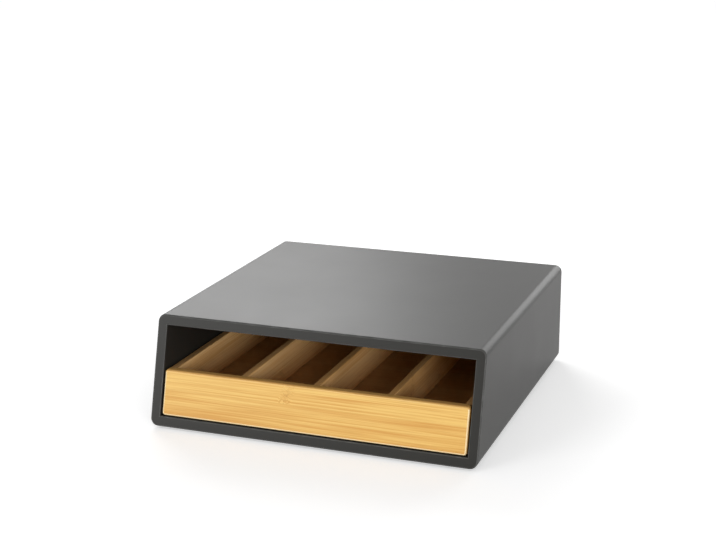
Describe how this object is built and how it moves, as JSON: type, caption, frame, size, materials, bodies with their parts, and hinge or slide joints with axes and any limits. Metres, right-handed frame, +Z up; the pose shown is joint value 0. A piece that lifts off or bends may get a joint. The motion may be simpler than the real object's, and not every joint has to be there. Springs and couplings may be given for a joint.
{
  "type": "coffee capsule dispenser",
  "caption": "Low black lacquered box with a sloping open front and a sliding bamboo drawer split into compartments for coffee capsules, sturdy enough to carry a coffee machine on top.",
  "frame": {"origin": "middle of the base at the level of the foot pads' undersides", "axes": "+Z up, +X to the right as seen from the front, +Y towards the back; the drawer opens towards -Y"},
  "size_m": [0.3, 0.3, 0.098],
  "materials": {
    "lacquer": "satin black lacquer on fibreboard",
    "bamboo": "clear matt varnish on laminated bamboo",
    "dowel_wood": "bare beech",
    "brad_steel": "plain steel",
    "foot_rubber": "matt black"
  },
  "bodies": {
    "carcass": {"top_panel": "lacquer", "bottom_panel": "lacquer", "left_side_panel": "lacquer", "right_side_panel": "lacquer", "back_panel": "lacquer", "carcass_dowels": "dowel_wood", "back_panel_brads": "brad_steel", "foot_front_left": "foot_rubber", "foot_front_right": "foot_rubber", "foot_back_left": "foot_rubber", "foot_back_right": "foot_rubber"},
    "drawer": {"drawer_front": "bamboo", "drawer_left_side": "bamboo", "drawer_right_side": "bamboo", "drawer_back": "bamboo", "drawer_bottom": "bamboo", "divider_left": "bamboo", "divider_middle": "bamboo", "divider_right": "bamboo", "drawer_front_dowels": "dowel_wood", "drawer_back_dowels": "dowel_wood"}
  },
  "joints": [
    {"name": "drawer_slide", "type": "slide", "parent": "carcass", "child": "drawer", "axis": [0, -1, 0], "range_m": [0, 0.2]}
  ]
}
